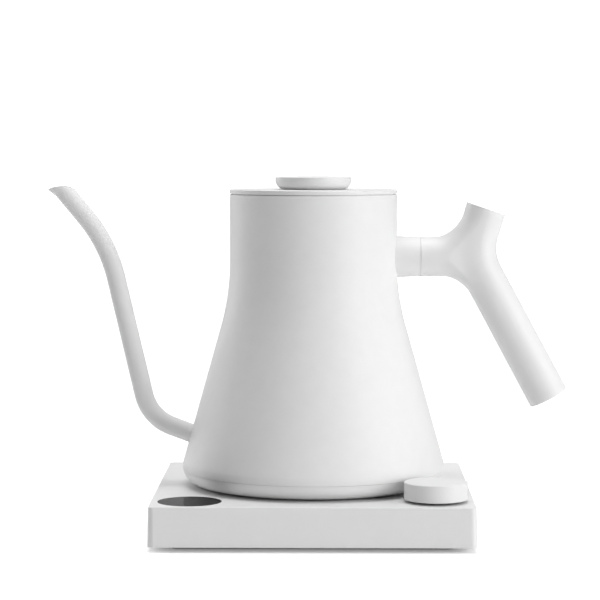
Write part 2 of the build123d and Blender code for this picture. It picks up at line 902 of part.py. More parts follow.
# ---------------------------------------------------------------- handle
collar_end = handle_start
set_screw_x = 68.0
set_screw_hole = 1.6
set_screw_bore = 2.4
set_screw_sink = 1.0
set_screw_head = 1.6
set_screw_length = 6.0
hex_radius = 1.2
arm_axis = Axis((0, 0, arm_height), (1, 0, 0))
collar_root_radius = 11.5
collar_inner = 30.0
seam_bevel = 0.25
with BuildPart() as handle_collar:
    with BuildSketch(Plane.XZ):
        with BuildLine():
            Polyline(
                (collar_inner, arm_height),
                (collar_inner, arm_height + collar_root_radius),
                (neck_radius, arm_height + collar_root_radius),
                (collar_end - seam_bevel, arm_height + arm_radius),
                (collar_end, arm_height + arm_radius - seam_bevel),
                (collar_end, arm_height + tenon_radius),
                (collar_end + tenon_length, arm_height + tenon_radius),
                (collar_end + tenon_length, arm_height),
                close=True,
            )
        make_face()
    revolve(axis=arm_axis)
    add(vessel_solid(0, vessel_seam, vessel_top), mode=Mode.SUBTRACT)
    with BuildSketch(Plane.XY.offset(arm_height)):
        with Locations((set_screw_x, 0)):
            Circle(set_screw_hole)
    extrude(amount=-tenon_radius - joint_overlap, mode=Mode.SUBTRACT)
write(handle_collar.part, "handle_collar")


def handle_path():
    """Axis of the bent bar from the upper stub down to the end of the grip."""
    with BuildLine(Plane.XZ) as path:
        FilletPolyline(stub_top, handle_elbow, grip_end, radius=elbow_bend)
    return path.line


bar_axis = handle_path()
stub_plane = Plane(origin=bar_axis @ 0, z_dir=bar_axis % 0)
grip_plane = Plane(origin=bar_axis @ 1, z_dir=bar_axis % 1)
plug_depth = 4.0
plug_radius = grip_radius - handle_wall
plug_bevel = 0.2
grip_bore_depth = 76.0
weight_length = 70.0
weight_bore = 3.0
handle_edge_round = 0.5
arm_end = 89.3                # where the arm ends inside the bent bar

with BuildPart() as handle_shell:
    with BuildSketch(stub_plane):
        Circle(grip_radius)
    sweep(path=bar_axis)
    with BuildSketch(Plane.YZ.offset(handle_start)):
        with Locations((0, arm_height)):
            Circle(arm_radius)
    extrude(amount=arm_end - handle_start)
    crotch = [
        edge
        for edge in handle_shell.edges()
        if set_screw_x < edge.center().X < arm_end
        and edge.geom_type not in (GeomType.LINE, GeomType.CIRCLE)
    ]
    fillet(crotch, crotch_blend)
    flat_ends = handle_shell.faces().filter_by(GeomType.PLANE)
    for end in (0, 1):
        fillet(flat_ends.sort_by_distance(bar_axis @ end)[0].edges(), handle_edge_round)
    chamfer(handle_shell.faces().sort_by(Axis.X)[0].edges(), seam_bevel)
    # bore of the grip, blind under the stub's flat top, and bore of the arm
    with BuildSketch(grip_plane):
        Circle(plug_radius)
    extrude(amount=-grip_bore_depth, mode=Mode.SUBTRACT)
    with BuildSketch(Plane.YZ.offset(handle_start)):
        with Locations((0, arm_height)):
            Circle(tenon_radius + running_gap)
    extrude(amount=tenon_length + joint_overlap, mode=Mode.SUBTRACT)
    with BuildSketch(Plane.XY.offset(arm_height)):
        with Locations((set_screw_x, 0)):
            Circle(set_screw_bore)
    extrude(amount=-arm_radius - joint_overlap, mode=Mode.SUBTRACT)
write(handle_shell.part, "handle_shell")

with BuildPart() as grip_weight:
    with BuildSketch(grip_plane):
        Circle(plug_radius - slide_fit)
        Circle(weight_bore, mode=Mode.SUBTRACT)
    extrude(amount=-weight_length)
    with BuildSketch(grip_plane):
        Circle(grip_radius)
    extrude(amount=-plug_depth, mode=Mode.SUBTRACT)
write(grip_weight.part, "grip_weight")

with BuildPart() as grip_end_plug:
    with BuildSketch(grip_plane):
        Circle(plug_radius - running_gap)
    extrude(amount=-plug_depth)
    chamfer(grip_end_plug.faces().sort_by_distance(bar_axis @ 1)[0].edges(), plug_bevel)
write(grip_end_plug.part, "grip_end_plug")

screw_low = arm_height - arm_radius + set_screw_sink
with BuildPart() as handle_set_screw:
    with BuildSketch(Plane.XY.offset(screw_low)):
        with Locations((set_screw_x, 0)):
            Circle(set_screw_bore - slide_fit)
            RegularPolygon(hex_radius, 6, mode=Mode.SUBTRACT)
    extrude(amount=set_screw_head)
    with BuildSketch(Plane.XY.offset(screw_low + set_screw_head)):
        with Locations((set_screw_x, 0)):
            Circle(set_screw_hole - running_gap)
    extrude(amount=set_screw_length)
write(handle_set_screw.part, "handle_set_screw")

# ---------------------------------------------------------------- lid
lid_top = vessel_top + lid_thickness
lid_edge_round = 0.4
lid_groove_depth = 0.9
lid_screw_radius = 1.6
lid_screw_grip = 5.0          # thread inside the knob
lid_screw_head_radius = 3.5
lid_screw_head_depth = 2.2
lid_screw_slot = (4.0, 1.0)
with BuildPart() as lid_cover:
    with BuildSketch(Plane.XY.offset(vessel_top)):
        Circle(lid_radius)
        Circle(lid_screw_radius + slide_fit, mode=Mode.SUBTRACT)
    extrude(amount=lid_thickness)
    with BuildSketch(Plane.XY.offset(vessel_top)):
        Circle(lid_radius + joint_overlap)
        Circle(neck_radius - lid_groove_depth, mode=Mode.SUBTRACT)
    extrude(amount=lid_groove, mode=Mode.SUBTRACT)
    outer_top = lid_cover.edges().filter_by(GeomType.CIRCLE).group_by(Axis.Z)[-1].sort_by(SortBy.RADIUS)[-1]
    fillet(outer_top, lid_edge_round)
write(lid_cover.part, "lid_cover")

knob_edge = lid_top + knob_height
with BuildPart() as lid_knob:
    with BuildSketch(Plane.XZ):
        with BuildLine():
            Line((0, lid_top), (knob_radius, lid_top))
            Line((knob_radius, lid_top), (knob_radius, knob_edge))
            ThreePointArc(
                (knob_radius, knob_edge),
                (knob_radius / 2, knob_edge + knob_crown * 3 / 4),
                (0, knob_edge + knob_crown),
            )
            Line((0, knob_edge + knob_crown), (0, lid_top))
        make_face()
    revolve(axis=Axis.Z)
    fillet(lid_knob.faces().sort_by(Axis.Z)[0].edges(), knob_under_round)
    rim_edges = lid_knob.edges().filter_by(GeomType.CIRCLE)
    at_rim = (knob_edge - press_fit, knob_edge + press_fit)
    fillet(rim_edges.filter_by_position(Axis.Z, *at_rim), knob_edge_round)
    with BuildSketch(Plane.XY.offset(lid_top)):
        Circle(lid_screw_radius)
    extrude(amount=lid_screw_grip + joint_overlap, mode=Mode.SUBTRACT)
write(lid_knob.part, "lid_knob")

plug_low = vessel_top - lid_plug_depth
lid_plug_wall = 1.0
lid_plug_bevel = 3.0
inner_bevel = lid_plug_bevel + 0.4 * lid_plug_wall
lid_plug_body = turned(
    [
        (0, plug_low),
        (lid_plug_radius - lid_plug_bevel, plug_low),
        (lid_plug_radius, plug_low + lid_plug_bevel),
        (lid_plug_radius, vessel_top),
        (lid_plug_radius - lid_plug_wall, vessel_top),
        (lid_plug_radius - lid_plug_wall, plug_low + inner_bevel),
        (lid_plug_radius - inner_bevel, plug_low + lid_plug_wall),
        (0, plug_low + lid_plug_wall),
    ]
)
write(lid_plug_body, "lid_plug")

lid_gasket_gap = 0.3
with BuildPart() as lid_gasket:
    with BuildSketch(Plane.XY.offset(vessel_top - rim_depth)):
        Circle(rim_inner_radius - lid_gasket_gap)
        Circle(lid_plug_radius + press_fit, mode=Mode.SUBTRACT)
    extrude(amount=rim_depth - slide_fit)
write(lid_gasket.part, "lid_gasket")

with BuildPart() as lid_screw:
    with BuildSketch(Plane.XY.offset(vessel_top)):
        Circle(lid_screw_head_radius)
    extrude(amount=-lid_screw_head_depth)
    with BuildSketch(Plane.XY.offset(vessel_top)):
        Circle(lid_screw_radius - running_gap)
    extrude(amount=lid_thickness + lid_screw_grip)
    with BuildSketch(Plane.XY.offset(vessel_top - lid_screw_head_depth)):
        Rectangle(*lid_screw_slot)
    extrude(amount=lid_screw_head_depth / 2, mode=Mode.SUBTRACT)
write(lid_screw.part, "lid_screw")
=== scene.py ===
import bpy, bmesh, json, math
import numpy as np
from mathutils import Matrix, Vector


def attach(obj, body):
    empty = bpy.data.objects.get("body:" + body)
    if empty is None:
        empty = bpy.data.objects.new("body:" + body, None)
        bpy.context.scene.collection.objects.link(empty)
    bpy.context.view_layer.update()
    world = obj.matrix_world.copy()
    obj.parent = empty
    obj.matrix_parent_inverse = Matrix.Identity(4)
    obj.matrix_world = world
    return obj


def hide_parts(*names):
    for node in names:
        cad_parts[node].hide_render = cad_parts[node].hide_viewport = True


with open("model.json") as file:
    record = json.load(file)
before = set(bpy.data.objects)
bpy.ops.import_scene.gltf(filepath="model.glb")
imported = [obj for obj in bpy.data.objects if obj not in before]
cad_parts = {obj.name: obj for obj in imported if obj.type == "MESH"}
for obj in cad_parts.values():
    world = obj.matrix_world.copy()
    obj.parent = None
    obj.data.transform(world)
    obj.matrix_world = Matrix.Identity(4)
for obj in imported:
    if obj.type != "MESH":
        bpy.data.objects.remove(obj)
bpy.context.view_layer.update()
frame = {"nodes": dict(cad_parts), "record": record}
scene = bpy.context.scene
scene.view_settings.view_transform = "Standard"
scene.view_settings.look = "None"

MM = 0.001


# ---------------------------------------------------------------- camera
SENSOR_WIDTH = 36.0
CAMERA_LENS = 136.58
CAMERA_PLACE = Vector((9.10, -1263.16, 211.66)) * MM
CAMERA_YAW = math.radians(0.751)
CAMERA_PITCH = math.radians(-3.84)
NEAREST_SEEN = 0.05
FARTHEST_SEEN = 50


def make_camera():
    data = bpy.data.cameras.new("camera")
    data.lens = CAMERA_LENS
    data.sensor_width = SENSOR_WIDTH
    data.clip_start = NEAREST_SEEN
    data.clip_end = FARTHEST_SEEN
    camera = bpy.data.objects.new("camera", data)
    camera.location = CAMERA_PLACE
    camera.rotation_euler = (math.pi / 2 + CAMERA_PITCH, 0, CAMERA_YAW)
    scene.collection.objects.link(camera)
    scene.camera = camera


# ---------------------------------------------------------------- materials
TINT_FROM = 0.3
TINT_TO = 0.7
FINE_DETAIL = 3.0
FINE_ROUGHNESS = 0.55
WIDE_GRAIN = 0.06
COARSE_GRAIN = 0.3
COARSE_DETAIL = 1.0
LINE_DETAIL = 4.0
LINE_DEPTH = 4e-6
LENS_GLOSS = 0.008


def material(name):
    """A new material with its node tree and its Principled shader."""
    made = bpy.data.materials.new(name)
    made.use_nodes = True
    tree = made.node_tree
    return made, tree, tree.nodes["Principled BSDF"]


def noise(tree, scale, detail=2.0, roughness=0.5):
    """Noise texture in the object's own metres."""
    coordinates = tree.nodes.new("ShaderNodeTexCoord")
    texture = tree.nodes.new("ShaderNodeTexNoise")
    texture.inputs["Scale"].default_value = scale
    texture.inputs["Detail"].default_value = detail
    texture.inputs["Roughness"].default_value = roughness
    tree.links.new(coordinates.outputs["Object"], texture.inputs["Vector"])
    return texture.outputs["Fac"]


def spread(tree, value, low, high):
    """A 0 to 1 value mapped to low to high."""
    mapped = tree.nodes.new("ShaderNodeMapRange")
    mapped.inputs["To Min"].default_value = low
    mapped.inputs["To Max"].default_value = high
    tree.links.new(value, mapped.inputs["Value"])
    return mapped.outputs["Result"]


def tint(tree, value, dark, light):
    """A colour between dark and light, chosen by a 0 to 1 value."""
    ramp = tree.nodes.new("ShaderNodeValToRGB")
    ramp.color_ramp.elements[0].position = TINT_FROM
    ramp.color_ramp.elements[1].position = TINT_TO
    ramp.color_ramp.elements[0].color = (*dark, 1)
    ramp.color_ramp.elements[1].color = (*light, 1)
    tree.links.new(value, ramp.inputs["Fac"])
    return ramp.outputs["Color"]


def bump(tree, shader, height, depth, before=None):
    """Surface relief of a depth in metres."""
    relief = tree.nodes.new("ShaderNodeBump")
    relief.inputs["Distance"].default_value = depth
    relief.inputs["Strength"].default_value = 1.0
    tree.links.new(height, relief.inputs["Height"])
    if before is not None:
        tree.links.new(before, relief.inputs["Normal"])
    tree.links.new(relief.outputs["Normal"], shader.inputs["Normal"])
    return relief.outputs["Normal"]


def grey(value):
    return (value, value, value)


def textured(name, dark, light, rough, grain, depth, metallic=0.0, coarse=None):
    """Matte or satin surface with fine grain in colour, roughness and relief."""
    made, tree, shader = material(name)
    fine = noise(tree, grain, FINE_DETAIL, FINE_ROUGHNESS)
    wide = noise(tree, grain * WIDE_GRAIN)
    tree.links.new(tint(tree, wide, dark, light), shader.inputs["Base Color"])
    tree.links.new(spread(tree, fine, rough[0], rough[1]), shader.inputs["Roughness"])
    shader.inputs["Metallic"].default_value = metallic
    first = bump(tree, shader, fine, depth)
    if coarse:
        bump(tree, shader, noise(tree, grain * COARSE_GRAIN, COARSE_DETAIL), coarse, first)
    return made


def brushed(name, dark, light, rough, stretch):
    """Metal with fine lines that run along one axis."""
    made, tree, shader = material(name)
    coordinates = tree.nodes.new("ShaderNodeTexCoord")
    mapping = tree.nodes.new("ShaderNodeMapping")
    mapping.inputs["Scale"].default_value = stretch
    lines = tree.nodes.new("ShaderNodeTexNoise")
    lines.inputs["Scale"].default_value = 1.0
    lines.inputs["Detail"].default_value = LINE_DETAIL
    tree.links.new(coordinates.outputs["Object"], mapping.inputs["Vector"])
    tree.links.new(mapping.outputs["Vector"], lines.inputs["Vector"])
    fac = lines.outputs["Fac"]
    tree.links.new(tint(tree, fac, dark, light), shader.inputs["Base Color"])
    tree.links.new(spread(tree, fac, rough[0], rough[1]), shader.inputs["Roughness"])
    shader.inputs["Metallic"].default_value = 1.0
    bump(tree, shader, fac, LINE_DEPTH)
    return made


coat = textured("white_coat", grey(0.80), grey(0.815), (0.48, 0.62), 2600, 0.9e-5, coarse=0.7e-5)
plastic = textured("white_plastic", grey(0.80), grey(0.81), (0.42, 0.55), 3200, 1.0e-5)
plate_plastic = textured("grey_plastic", grey(0.50), grey(0.53), (0.5, 0.65), 3000, 1.2e-5)
black = textured("black_plastic", grey(0.022), grey(0.03), (0.45, 0.62), 2400, 2e-5)
rubber = textured("rubber", grey(0.025), grey(0.04), (0.75, 0.9), 1800, 2e-5)
silicone = textured("silicone", grey(0.55), grey(0.60), (0.5, 0.65), 1500, 1e-5)
steel = brushed("steel", grey(0.50), grey(0.62), (0.22, 0.36), (60, 60, 3000))
brass = brushed("brass", (0.60, 0.42, 0.16), (0.75, 0.56, 0.26), (0.2, 0.35), (800, 800, 800))
aluminium = brushed("aluminium", grey(0.58), grey(0.68), (0.3, 0.45), (900, 900, 900))
board = textured("board", (0.012, 0.09, 0.035), (0.02, 0.13, 0.05), (0.25, 0.4), 900, 1e-5)
nylon = textured("nylon", (0.62, 0.60, 0.54), (0.68, 0.66, 0.60), (0.45, 0.6), 1500, 1e-5)
lead = textured("lead_sleeve", (0.16, 0.05, 0.02), (0.20, 0.07, 0.03), (0.35, 0.5), 1200, 1e-5)
ribbon = textured("ribbon", grey(0.30), grey(0.36), (0.4, 0.5), 1200, 1e-5)
core = textured("core", (0.03, 0.03, 0.04), (0.06, 0.06, 0.07), (0.3, 0.5), 1500, 2e-5)
screen = textured("screen", grey(0.008), grey(0.012), (0.15, 0.22), 600, 2e-6)
dark_glass = textured("dark_glass", grey(0.006), grey(0.008), (0.12, 0.18), 400, 1e-6)
dark_glass.node_tree.nodes["Principled BSDF"].inputs["Specular IOR Level"].default_value = LENS_GLOSS

FINISHES = {
    "white_coat": coat,
    "white_plastic": plastic,
    "black_plastic": black,
    "grey_plastic": plate_plastic,
    "screen": screen,
    "dark_glass": dark_glass,
    "rubber": rubber,
    "silicone": silicone,
    "steel": steel,
    "brass": brass,
    "aluminium": aluminium,
    "board": board,
    "nylon": nylon,
    "lead_sleeve": lead,
    "ribbon": ribbon,
    "core": core,
}


def finish_cad_nodes():
    """Every carried-over node takes the material of its slot."""
    for part in frame["record"]["subparts"]:
        node = frame["nodes"][part["node"]]
        node.data.materials.clear()
        node.data.materials.append(FINISHES[part["material_slot"]])


# ---------------------------------------------------------------- outline, in millimetres
NECK_TO_CONE = 0.28
CONE_REACH = 82.95
SPOUT_RADIUS = 5.25
SPOUT_WALL = 0.8
SPOUT_ROUTE = [(-60.0, 49.4), (-91.5, 60.9), (-114.15, 158.05), (-138.83, 187.94)]
SPOUT_BENDS = [25.0, 84.0]
LIP_LENGTH = 9.0
LIP_FLARE = 1.0
LIP_LOW = 188.2
LIP_HIGH = 190.15
LIP_FRONT = -147.5
LIP_BACK = -131.9
ARM_HEIGHT = 151.1
ARM_RADIUS = 11.0
GRIP_RADIUS = 11.15
HANDLE_START = 59.1
HANDLE_ROUTE = [(95.7, 178.0), (88.0, 152.36), (130.9, 72.7)]
HANDLE_BEND = 31.0


class RoundedPath:
    """Straight runs joined by tangent arcs in the XZ plane, read by distance along it."""

    def __init__(self, points, radii):
        self.pieces = []
        points = [Vector(point) for point in points]
        start = points[0]
        for before, corner, after, radius in zip(points, points[1:], points[2:], radii):
            way_in = (corner - before).normalized()
            way_out = (after - corner).normalized()
            turn = way_in.angle_signed(way_out)
            trim = radius * math.tan(abs(turn) / 2)
            arc_start = corner - way_in * trim
            self.add_run(start, arc_start)
            side = Vector((way_in.y, -way_in.x)) * math.copysign(1, turn)
            centre = arc_start + side * radius
            self.pieces.append(("arc", radius * abs(turn), centre, -side * radius, turn, radius))
            start = corner + way_out * trim
        self.add_run(start, points[-1])
        self.length = sum(piece[1] for piece in self.pieces)

    def add_run(self, start, end):
        way = end - start
        self.pieces.append(("run", way.length, start, way.normalized()))

    def at(self, distance):
        """Point and direction at a distance; beyond the ends it runs straight on."""
        for piece in self.pieces:
            last = piece is self.pieces[-1]
            if distance <= piece[1] or last:
                break
            distance -= piece[1]
        if piece[0] == "run":
            return piece[2] + piece[3] * distance, piece[3]
        _, _, centre, spoke, turn, radius = piece
        swept = -math.copysign(distance / radius, turn)
        cosine, sine = math.cos(swept), math.sin(swept)
        turned_spoke = Vector((spoke.x * cosine - spoke.y * sine, spoke.x * sine + spoke.y * cosine))
        way = Vector((-turned_spoke.y, turned_spoke.x)).normalized() * math.copysign(1, swept)
        return centre + turned_spoke, way


def new_piece(name, mesh, finish, body, node):
    """A visible piece that stands for a CAD node and moves with its body."""
    mesh.materials.append(finish)
    piece = bpy.data.objects.new(name, mesh)
    scene.collection.objects.link(piece)
    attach(piece, body)
    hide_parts(node)
    return piece


# ---------------------------------------------------------------- spout
SPOUT_SIDES = 72
SPOUT_RINGS = 190
RIM_SOFTENING = 0.12
WALL_SEARCH = 30
LIP_SEARCH_BACK = 12
LIP_SEARCH_ON = 18
FLARE_LIMIT = 1.6
HALVINGS = 40
SPOUT_SHARP_ANGLE = math.radians(50)


def lip_height(x):
    """Height of the shallow arch that ends the spout."""
    half = (LIP_BACK - LIP_FRONT) / 2
    rise = LIP_HIGH - LIP_LOW
    radius = (half * half + rise * rise) / (2 * rise)
    off = min(abs(x - (LIP_FRONT + LIP_BACK) / 2), half)
    return LIP_HIGH - radius + math.sqrt(radius * radius - off * off)


def spout_point(path, distance, turn, radius):
    """Point on a tube round the spout's line; the front widens over the lip."""
    centre, way = path.at(distance)
    across = Vector((way.y, -way.x))
    flare = LIP_FLARE * min(max((distance - path.length) / LIP_LENGTH, 0), FLARE_LIMIT)
    reach = (radius + flare) * math.cos(turn) - flare
    return Vector((centre.x + across.x * reach, radius * math.sin(turn), centre.y + across.y * reach))


def crossing(path, turn, radius, low, high, outside):
    """Distance along the tube's side where a test changes from false to true."""
    for _ in range(HALVINGS):
        middle = (low + high) / 2
        if outside(spout_point(path, middle, turn, radius)):
            high = middle
        else:
            low = middle
    return high


def beyond_wall(point):
    return math.hypot(point.x, point.y) > CONE_REACH - NECK_TO_CONE * point.z


def beyond_lip(point):
    return point.z > lip_height(point.x)


def make_spout():
    path = RoundedPath(SPOUT_ROUTE, SPOUT_BENDS)
    made = bmesh.new()

    def tube(radius, drop):
        """Rows of vertices from the vessel's wall to the lip."""
        rows = [[] for _ in range(SPOUT_RINGS + 1)]
        for side in range(SPOUT_SIDES):
            turn = 2 * math.pi * side / SPOUT_SIDES
            start = crossing(path, turn, radius, 0, WALL_SEARCH, beyond_wall)
            search = (path.length - LIP_SEARCH_BACK, path.length + LIP_SEARCH_ON)
            end = crossing(path, turn, radius, *search, beyond_lip)
            for ring, row in enumerate(rows):
                share = ring / SPOUT_RINGS
                place = spout_point(path, start + (end - drop - start) * share, turn, radius)
                row.append(made.verts.new(place * MM))
        return rows

    outer = tube(SPOUT_RADIUS, RIM_SOFTENING)
    rim = tube(SPOUT_RADIUS - SPOUT_WALL / 2, 0)[-1]
    inner = tube(SPOUT_RADIUS - SPOUT_WALL, RIM_SOFTENING)
    rows = outer + [rim] + inner[::-1] + [outer[0]]
    for near, far in zip(rows, rows[1:]):
        for side in range(SPOUT_SIDES):
            after = (side + 1) % SPOUT_SIDES
            made.faces.new((near[side], near[after], far[after], far[side]))
    loose = [vert for vert in made.verts if not vert.link_faces]
    bmesh.ops.delete(made, geom=loose, context="VERTS")
    bmesh.ops.recalc_face_normals(made, faces=made.faces)
    mesh = bpy.data.meshes.new("spout_tube")
    made.to_mesh(mesh)
    made.free()
    mesh.shade_smooth()
    mesh.set_sharp_from_angle(angle=SPOUT_SHARP_ANGLE)
    new_piece("spout_tube", mesh, coat, "kettle", "spout")


# ---------------------------------------------------------------- handle, in millimetres
VOXEL = 1.0
UPPER_CROTCH = 12.9
LOWER_CROTCH = 9.5
CROTCH_BLEND = 10.0
ARM_BLEND_END = 84.0
STUB_FACE_POINT = (95.9, 177.8)
STUB_FACE_TILT = math.radians(18.7)
PLUG_RADIUS = 8.5
GRIP_BORE_DEPTH = 76.0
TENON_RADIUS = 7.05
TENON_DEPTH = 20.5
SCREW_X = 68.0
SCREW_BORE = 2.4
END_ROUND = 0.45
END_ROUND_STEPS = 3
GRIP_END_INSETS = (0.1, 0.12, 0.15)
MERGE_WITHIN = 0.02
CUT_WITHIN = 1e-7
ROUGH_RODS = 12
ROUGH_OVERRUN = 8
ROUGH_ARM_OVERRUN = 6
REMESHES = 3
SETTLE_ROUNDS = 8
SLOPE_STEP = 0.02
LEAST_SLOPE = 0.2
BEND_CORE = 1 / 3
ROD_SIDES = 48
HOLE_SIDES = 24
HANDLE_SHARP_ANGLE = math.radians(40)


def distance_to_bar(x, z, bar):
    """Distance in the XZ plane from the bent bar's axis, whose ends run on straight."""
    upper, bend, lower = bar.pieces
    _, bend_length, centre, _, _, radius = bend
    bend_start = bar.at(upper[1])[0]
    bend_end = bar.at(upper[1] + bend_length)[0]
    from_centre = np.hypot(x - centre.x, z - centre.y)
    nearest = np.abs(from_centre - radius)
    nearest[from_centre < radius * BEND_CORE] = radius
    for place, way, side in ((bend_start, upper[3], -1), (bend_end, lower[3], 1)):
        along = (x - place.x) * way.x + (z - place.y) * way.y
        away = np.abs((x - place.x) * way.y - (z - place.y) * way.x)
        outside = along * side > 0
        nearest = np.where(outside, away, nearest)
    return nearest


def handle_field(points, bar):
    """Signed distance to the skin: a fork with rounded crotches and a constant half thickness."""
    x, y, z = points.T
    to_bar = distance_to_bar(x, z, bar) - GRIP_RADIUS
    to_arm = np.maximum(np.abs(z - ARM_HEIGHT) - ARM_RADIUS, x - ARM_BLEND_END)
    reach = (ARM_HEIGHT - CROTCH_BLEND, ARM_HEIGHT + CROTCH_BLEND)
    round_off = np.interp(z, reach, (LOWER_CROTCH, UPPER_CROTCH))
    near_bar = np.maximum(round_off - to_bar, 0)
    near_arm = np.maximum(round_off - to_arm, 0)
    fork = np.maximum(round_off, np.minimum(to_bar, to_arm)) - np.hypot(near_bar, near_arm)
    inset = np.maximum(GRIP_RADIUS + fork, 0)
    return np.hypot(y, inset) - GRIP_RADIUS


def settle(mesh, bar):
    """Move a mesh's vertices onto the handle's skin."""
    count = len(mesh.vertices)
    flat = np.empty(count * 3)
    mesh.vertices.foreach_get("co", flat)
    points = flat.reshape(count, 3) / MM
    for _ in range(SETTLE_ROUNDS):
        value = handle_field(points, bar)
        slope = np.empty_like(points)
        for axis in range(3):
            shift = np.zeros(3)
            shift[axis] = SLOPE_STEP
            rise = handle_field(points + shift, bar) - handle_field(points - shift, bar)
            slope[:, axis] = rise / (2 * SLOPE_STEP)
        steep = np.maximum((slope * slope).sum(axis=1), LEAST_SLOPE)
        points = points - slope * (value / steep)[:, None]
    mesh.vertices.foreach_set("co", (points * MM).ravel())
    mesh.update()


def evaluated(piece):
    """The piece's mesh with its modifiers applied."""
    graph = bpy.context.evaluated_depsgraph_get()
    return bpy.data.meshes.new_from_object(piece.evaluated_get(graph))


def scratch(name, made):
    """A helper object made from a bmesh, deleted again by discard()."""
    mesh = bpy.data.meshes.new(name)
    bmesh.ops.recalc_face_normals(made, faces=made.faces)
    made.to_mesh(mesh)
    made.free()
    helper = bpy.data.objects.new(name, mesh)
    scene.collection.objects.link(helper)
    return helper


def discard(*helpers):
    for helper in helpers:
        bpy.data.objects.remove(helper)


def add_rod(made, start, end, radius, sides=ROD_SIDES):
    """A closed round bar between two points in millimetres."""
    start, end = Vector(start) * MM, Vector(end) * MM
    way = end - start
    turn = way.to_track_quat("Z", "Y").to_matrix().to_4x4()
    turn.translation = (start + end) / 2
    bmesh.ops.create_cone(
        made,
        cap_ends=True,
        segments=sides,
        radius1=radius * MM,
        radius2=radius * MM,
        depth=way.length,
        matrix=turn,
    )


def remesh(helper):
    """Replace a helper's mesh by an even one of small squares."""
    modifier = helper.modifiers.new("even", "REMESH")
    modifier.mode = "VOXEL"
    modifier.voxel_size = VOXEL * MM
    helper.data = evaluated(helper)
    helper.modifiers.clear()


def in_plane(point):
    return Vector((point[0], 0, point[1]))


def trim(made, point, way):
    """Cut a closed mesh by a plane, close it and round the new edge."""
    everything = made.verts[:] + made.edges[:] + made.faces[:]
    cut = bmesh.ops.bisect_plane(
        made,
        geom=everything,
        plane_co=in_plane(point) * MM,
        plane_no=in_plane(way),
        clear_outer=True,
        dist=CUT_WITHIN,
    )
    border = [item for item in cut["geom_cut"] if isinstance(item, bmesh.types.BMEdge)]
    bmesh.ops.edgeloop_fill(made, edges=border)
    bmesh.ops.bevel(
        made,
        geom=border,
        offset=END_ROUND * MM,
        segments=END_ROUND_STEPS,
        profile=0.5,
        affect="EDGES",
    )


def cut_handle(rough, bar, inset):
    """The handle's even skin cut to its three ends and bored; an empty mesh when the boring fails."""
    made = bmesh.new()
    made.from_mesh(rough)
    face_way = Vector((math.sin(STUB_FACE_TILT), math.cos(STUB_FACE_TILT)))
    grip_end, grip_way = bar.at(bar.length - inset)
    trim(made, STUB_FACE_POINT, face_way)
    trim(made, grip_end, grip_way)
    trim(made, (HANDLE_START, ARM_HEIGHT), (-1, 0))
    bmesh.ops.remove_doubles(made, verts=made.verts, dist=MERGE_WITHIN * MM)
    caps = [face for face in made.faces if len(face.verts) > 4]
    bmesh.ops.triangulate(made, faces=caps)
    skin = scratch("handle_skin_body", made)

    bores = bmesh.new()
    bore_end = grip_end - grip_way * GRIP_BORE_DEPTH
    add_rod(bores, in_plane(grip_end + grip_way), in_plane(bore_end), PLUG_RADIUS)
    tenon_end = HANDLE_START + TENON_DEPTH
    add_rod(bores, (HANDLE_START - 1, 0, ARM_HEIGHT), (tenon_end, 0, ARM_HEIGHT), TENON_RADIUS)
    bore_tool = scratch("handle_bores", bores)
    hole = bmesh.new()
    below_arm = (SCREW_X, 0, ARM_HEIGHT - 2 * ARM_RADIUS)
    add_rod(hole, (SCREW_X, 0, ARM_HEIGHT), below_arm, SCREW_BORE, HOLE_SIDES)
    hole_tool = scratch("handle_hole", hole)
    for tool in (bore_tool, hole_tool):
        cut = skin.modifiers.new(tool.name, "BOOLEAN")
        cut.operation = "DIFFERENCE"
        cut.solver = "EXACT"
        cut.object = tool
    mesh = evaluated(skin)
    discard(skin, bore_tool, hole_tool)
    return mesh


def make_handle():
    bar = RoundedPath(HANDLE_ROUTE, [HANDLE_BEND])
    rough = bmesh.new()
    whole = bar.length + 2 * ROUGH_OVERRUN
    reaches = [whole * index / ROUGH_RODS - ROUGH_OVERRUN for index in range(ROUGH_RODS + 1)]
    spots = [bar.at(reach)[0] for reach in reaches]
    for near, far in zip(spots, spots[1:]):
        add_rod(rough, in_plane(near), in_plane(far), GRIP_RADIUS)
    arm_start = (HANDLE_START - ROUGH_ARM_OVERRUN, 0, ARM_HEIGHT)
    add_rod(rough, arm_start, (ARM_BLEND_END, 0, ARM_HEIGHT), ARM_RADIUS)
    helper = scratch("handle_rough", rough)
    for _ in range(REMESHES):
        remesh(helper)
        settle(helper.data, bar)
    for inset in GRIP_END_INSETS:
        mesh = cut_handle(helper.data, bar, inset)
        if mesh.vertices:
            break
    discard(helper)
    mesh.name = "handle_skin"
    mesh.shade_smooth()
    mesh.set_sharp_from_angle(angle=HANDLE_SHARP_ANGLE)
    new_piece("handle_skin", mesh, plastic, "kettle", "handle_shell")


# ---------------------------------------------------------------- stage and light
FLOOR_REACH = 12.0
# camera-only floor glow; its lowest value, over the object's footprint, is a painted contact shadow
FLOOR_GLOW_IN_PAINTED_SHADOW = 0.16
FLOOR_GLOW_NEAR = 0.45
FLOOR_GLOW_FAR = 1.3
FLOOR_GLOW_START = 0.7
FLOOR_GLOW_FULL = 2.6
# half width of the painted contact shadow's square, and the width over which it fades out
PAINTED_SHADOW_HALF_WIDTH = 0.070
PAINTED_SHADOW_FADE = 0.022
FLOOR_TONE = 0.9
FLOOR_ROUGHNESS = 0.9

AIM = Vector((0, 0, 0.08))
WORLD_LIGHT = 0.18
BACKDROP_LIGHT = 1.3
LIGHT_DISTANCE = 1.6
LIGHTS = {
    "top": (0, 90, 1.2, 18.2),
    "key": (60, 12, 1.0, 16.2),
    "rim": (-125, 15, 1.0, 7.6),
    "back": (180, 20, 1.0, 2.7),
}


